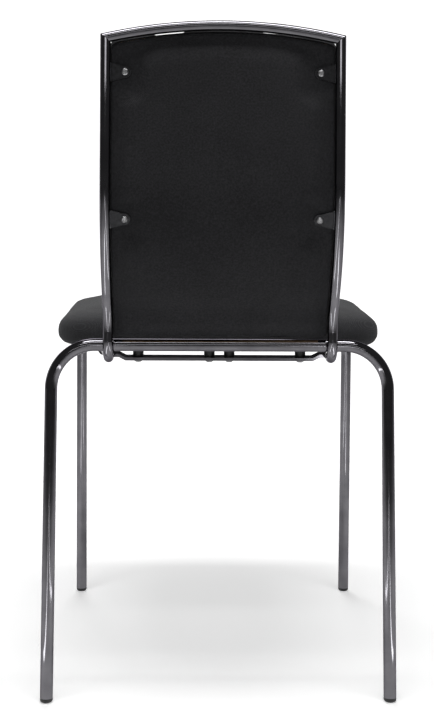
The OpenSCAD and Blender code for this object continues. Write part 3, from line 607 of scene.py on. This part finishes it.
class Maker:
    """A material with its Principled shader and short calls for nodes and links."""

    def __init__(self, name):
        self.material = bpy.data.materials.new(name)
        self.material.use_nodes = True
        self.tree = self.material.node_tree
        self.shader = self.tree.nodes["Principled BSDF"]
        self.place = self.add("ShaderNodeTexCoord").outputs["Object"]

    def add(self, kind, settings=None, **inputs):
        """Adds a node. An input is given by its name, or as i0, i1 and so on by its number."""
        made = self.tree.nodes.new(kind)
        for key, value in (settings or {}).items():
            setattr(made, key, value)
        for key, value in inputs.items():
            self.put(made.inputs[int(key[1:]) if key[0] == "i" and key[1:].isdigit() else key], value)
        return made

    def put(self, socket, value):
        if isinstance(value, bpy.types.NodeSocket):
            self.tree.links.new(value, socket)
        else:
            socket.default_value = value

    def noise(self, scale, detail=3.0, place=None):
        made = self.add("ShaderNodeTexNoise", Vector=place or self.place, Scale=scale, Detail=detail)
        return made.outputs["Fac"]

    def math(self, operation, a, b=0.0):
        return self.add("ShaderNodeMath", {"operation": operation}, i0=a, i1=b).outputs[0]

    def ramp(self, factor, stops):
        made = self.add("ShaderNodeValToRGB", Fac=factor)
        for k, (position, colour) in enumerate(stops):
            stop = made.color_ramp.elements[k] if k < 2 else made.color_ramp.elements.new(position)
            stop.position = position
            stop.color = (*colour, 1.0)
        return made.outputs["Color"]

    def reach(self, value, source, target):
        """Takes value from one range to another, and stops at its ends."""
        limits = {"From Min": source[0], "From Max": source[1], "To Min": target[0], "To Max": target[1]}
        return self.add("ShaderNodeMapRange", Value=value, **limits).outputs["Result"]

    def spread(self, factor, low, high):
        return self.reach(factor, (0.0, 1.0), (low, high))

    def bump(self, height, strength, distance):
        made = self.add("ShaderNodeBump", Strength=strength, Distance=distance, Height=height)
        self.put(self.shader.inputs["Normal"], made.outputs["Normal"])

    def set(self, **values):
        for key, value in values.items():
            self.put(self.shader.inputs[key.replace("_", " ")], value)


def dark_chrome(name, low, high):
    m = Maker(name)
    haze = m.noise(38, 4)
    fine = m.noise(900, 2)
    m.set(
        Metallic=1.0,
        Base_Color=m.ramp(haze, [(0.3, low), (0.7, high)]),
        Roughness=m.spread(haze, 0.05, 0.10),
        Specular_Tint=(0.4, 0.39, 0.41, 1.0),
    )
    m.bump(fine, 0.03, 0.0002)
    return m.material


def cloth(name, dark, light, pitch):
    """Plain weave: threads run across the piece and along it, with a mottled nap over them."""
    m = Maker(name)
    turn = 2 * math.pi / pitch
    x, y, z = m.add("ShaderNodeSeparateXYZ", Vector=m.place).outputs
    drift = m.math("MULTIPLY", m.noise(60, 2), 1.6)
    warp = m.math("ADD", m.math("MULTIPLY", m.math("ADD", x, m.math("MULTIPLY", y, 0.35)), turn), drift)
    weft = m.math("ADD", m.math("MULTIPLY", m.math("ADD", z, y), turn), drift)
    weave = m.math("MULTIPLY", m.math("SINE", warp), m.math("SINE", weft))
    threads = m.spread(weave, 0.0, 1.0)
    nap = m.noise(420, 4)
    patches = m.noise(9, 3)
    spots = m.math("MULTIPLY", m.math("ADD", threads, patches), 0.25)
    tone = m.math("ADD", m.math("MULTIPLY", nap, 0.5), spots)
    m.set(
        Base_Color=m.ramp(tone, [(0.3, dark), (0.72, light)]),
        Roughness=m.spread(nap, 0.82, 0.98),
        Specular_IOR_Level=0.2,
        Sheen_Weight=0.05,
        Sheen_Roughness=0.45,
    )
    m.bump(m.math("ADD", threads, nap), 0.35, 0.0006)
    return m.material


def fleece(name):
    m = Maker(name)
    fibres = m.noise(700, 6)
    tone = m.ramp(fibres, [(0.35, (0.010, 0.010, 0.011)), (0.7, (0.028, 0.028, 0.030))])
    m.set(Base_Color=tone, Roughness=0.95)
    m.bump(fibres, 0.4, 0.0005)
    return m.material


def plywood(name):
    m = Maker(name)
    stretched = m.add("ShaderNodeMapping", Vector=m.place, Scale=(18.0, 2.0, 60.0)).outputs["Vector"]
    grain = m.noise(6, 5, stretched)
    m.set(
        Base_Color=m.ramp(grain, [(0.3, (0.36, 0.22, 0.11)), (0.7, (0.58, 0.40, 0.22))]),
        Roughness=m.spread(grain, 0.5, 0.7),
    )
    m.bump(grain, 0.2, 0.0004)
    return m.material


def plastic(name, tone):
    m = Maker(name)
    pores = m.noise(1500, 2)
    wear = m.noise(45, 3)
    dark = tuple(0.7 * c for c in tone)
    m.set(Base_Color=m.ramp(wear, [(0.35, dark), (0.7, tone)]), Roughness=m.spread(wear, 0.38, 0.6))
    m.bump(pores, 0.12, 0.0002)
    return m.material


def plated(name, dark, light):
    m = Maker(name)
    stain = m.noise(260, 4)
    tone = m.ramp(stain, [(0.3, dark), (0.7, light)])
    m.set(Metallic=1.0, Base_Color=tone, Roughness=m.spread(stain, 0.25, 0.45))
    m.bump(stain, 0.1, 0.0002)
    return m.material


def assign(piece, material):
    piece.data.materials.clear()
    piece.data.materials.append(material)


chrome = dark_chrome("dark_chrome", (0.125, 0.122, 0.132), (0.170, 0.166, 0.178))
tab_steel = plated("black_steel", (0.020, 0.020, 0.021), (0.036, 0.036, 0.038))
screw_steel = plated("screw_steel", (0.22, 0.22, 0.223), (0.34, 0.34, 0.345))
nut_zinc = plated("zinc", (0.42, 0.42, 0.40), (0.60, 0.60, 0.57))
# Seat and back wear one black fabric. The back's copy is made darker than the seat's, which is painted shade
# for the back, where less light falls.
seat_cloth = cloth("seat_cloth", (0.024, 0.024, 0.026), (0.056, 0.056, 0.060), 0.0017)
back_cloth_painted_shade = cloth("back_cloth_painted_shade", (0.008, 0.008, 0.009), (0.034, 0.034, 0.037), 0.0017)
under_cloth = fleece("underside_cloth")
ply = plywood("plywood")
black_plastic = plastic("black_plastic", (0.022, 0.022, 0.023))
weld_steel = plated("weld_steel", (0.07, 0.07, 0.075), (0.14, 0.14, 0.15))
seam_cloth = cloth("seam_cloth", (0.010, 0.010, 0.011), (0.028, 0.028, 0.030), 0.0012)

for material, names in (
    (chrome, ("rear_leg_frame", "front_leg_frame", "left_back_rod", "right_back_rod", "top_bar",
              "rear_seat_strap", "front_seat_strap")),
    (tab_steel, ("upper_left_tab", "upper_right_tab", "lower_left_tab", "lower_right_tab")),
    (screw_steel, ("back_screws", "seat_screws")),
    (nut_zinc, ("back_nuts", "seat_nuts")),
    (ply, ("back_board", "seat_pan")),
    (black_plastic, ("seat_spacers", "rear_left_glide", "rear_right_glide", "front_left_glide",
                     "front_right_glide", "stacking_bumpers")),
    (under_cloth, ("seat_underside_cloth",)),
):
    for name in names:
        assign(nodes[name], material)

for piece, material, replaced in (
    (make_seat_cushion(), seat_cloth, ("seat_cover", "seat_foam")),
    (make_back_front_cushion(), back_cloth_painted_shade, ("back_front_cover", "back_front_foam")),
    (make_back_rear_pad(), back_cloth_painted_shade, ("back_rear_cover", "back_rear_foam")),
):
    assign(piece, material)
    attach(piece, "root")
    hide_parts(*replaced)

for piece, material in (
    (make_tab_welds(), weld_steel),
    (make_rail_welds(), weld_steel),
    (make_back_welt(), seam_cloth),
):
    assign(piece, material)
    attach(piece, "root")


# Floor, light and camera

PHOTO_H = 727
FOCAL_PX = 1232.1
HORIZON_PX = 218.4
CAMERA_PLACE = Vector((0.0358, 1.7387, 0.6015))
CAMERA_YAW = math.radians(-1.129)
CAMERA_ROLL = math.radians(0.34)
WORLD_LIGHT = 0.08
SWEEP_NEAR_Y = 9.0
SWEEP_Y = 2.6
SWEEP_R = 1.0
SWEEP_H = 3.0
SWEEP_HALF_W = 9.0

# The paper's own glow rises behind the seat's front and fades at both sides and under the camera
GLOW_RISE_Y, GLOW_RISE = (-0.3, -2.6), (0.42, 1.0)
GLOW_FADE = (1.0, 0.12)
GLOW_FADE_X = (1.0, 2.4)
GLOW_FADE_Y = (0.4, 1.8)
GLOW_EVEN_Y = (0.3, -0.8)

# Name, place, target, size and watts
LAMPS = (
    ("top", (0.0, 0.46, 2.3), (0, 0.2, 0.5), (1.6, 0.36), 30),
    ("high_strip", (0.0, 1.5, 2.1), (0, 0.2, 0.6), (1.8, 0.16), 7),
    ("horizon", (0.0, 3.2, 1.2), (0, 0.15, 0.5), (1.8, 0.22), 3.5),
    ("front", (0.3, -2.2, 1.9), (0, 0, 0.5), (1.2, 1.2), 26),
    ("left_floor", (0.36, 2.2, 0.02), (0.36, 2.2, 2.0), (0.07, 3.8), 5.5),
    ("right_floor", (-0.36, 2.2, 0.02), (-0.36, 2.2, 2.0), (0.07, 3.8), 5.5),
)


def seen_or_mirrored(m):
    """1 for camera, glossy and transmission rays, and 0 for the light that falls on the object."""
    rays = m.add("ShaderNodeLightPath").outputs
    total = rays["Is Camera Ray"]
    for name in ("Is Glossy Ray", "Is Transmission Ray"):
        total = m.math("MAXIMUM", total, rays[name])
    return total


def make_world():
    world = bpy.data.worlds.new("studio")
    world.use_nodes = True
    scene.world = world
    shine = world.node_tree.nodes["Background"]
    shine.inputs["Color"].default_value = (1, 1, 1, 1)
    shine.inputs["Strength"].default_value = WORLD_LIGHT


def make_sweep():
    """A sheet of white paper that lies under the chair and rises behind it in a wide curve."""
    turns = [math.pi / 2 * i / 16 for i in range(17)]
    bend = [(-SWEEP_Y - SWEEP_R * math.sin(t), SWEEP_R * (1 - math.cos(t))) for t in turns]
    profile = [(SWEEP_NEAR_Y, 0.0)] + bend + [(bend[-1][0], SWEEP_H)]
    points = [(x, y, z) for y, z in profile for x in (-SWEEP_HALF_W, SWEEP_HALF_W)]
    faces = [(2 * i, 2 * i + 2, 2 * i + 3, 2 * i + 1) for i in range(len(profile) - 1)]
    sweep = mesh_object("paper_sweep", points, faces)
    m = Maker("white_paper")
    m.set(Base_Color=m.ramp(m.noise(3, 2), [(0.3, (0.86,) * 3), (0.7, (0.88,) * 3)]), Roughness=0.9)
    x, y, _ = m.add("ShaderNodeSeparateXYZ", Vector=m.place).outputs
    rise = m.reach(y, GLOW_RISE_Y, GLOW_RISE)
    near = m.reach(y, GLOW_FADE_Y, GLOW_FADE)
    beside = m.reach(m.math("ABSOLUTE", x), GLOW_FADE_X, GLOW_FADE)
    beside = m.math("MAXIMUM", beside, m.reach(y, GLOW_EVEN_Y, (0.0, 1.0)))
    glow = m.add("ShaderNodeEmission", Strength=m.math("MULTIPLY", rise, m.math("MULTIPLY", near, beside)))
    lit = m.shader.outputs[0]
    both = m.add("ShaderNodeAddShader", i0=lit, i1=glow.outputs[0])
    choice = m.add("ShaderNodeMixShader", Fac=seen_or_mirrored(m), i1=lit, i2=both.outputs[0])
    m.put(m.tree.nodes["Material Output"].inputs["Surface"], choice.outputs[0])
    assign(sweep, m.material)


def make_lamp(name, place, target, size, watts):
    data = bpy.data.lights.new(name, "AREA")
    data.shape = "RECTANGLE"
    data.size, data.size_y = size
    data.energy = watts
    lamp = bpy.data.objects.new(name, data)
    lamp.location = place
    lamp.rotation_euler = (Vector(target) - Vector(place)).to_track_quat("-Z", "Y").to_euler()
    scene.collection.objects.link(lamp)


def make_camera():
    data = bpy.data.cameras.new("camera")
    data.sensor_fit = "VERTICAL"
    data.sensor_height = 36.0
    data.lens = 36.0 * FOCAL_PX / PHOTO_H
    data.shift_y = -(PHOTO_H / 2 - HORIZON_PX) / PHOTO_H
    data.clip_start = 0.05
    data.clip_end = 60
    camera = bpy.data.objects.new("camera", data)
    turn = Matrix.Rotation(math.pi + CAMERA_YAW, 4, "Z") @ Matrix.Rotation(math.pi / 2, 4, "X")
    camera.matrix_world = Matrix.Translation(CAMERA_PLACE) @ turn @ Matrix.Rotation(CAMERA_ROLL, 4, "Z")
    scene.collection.objects.link(camera)
    scene.camera = camera


make_world()
make_sweep()
make_camera()
for lamp in LAMPS:
    make_lamp(*lamp)

scene.view_settings.view_transform = "Standard"
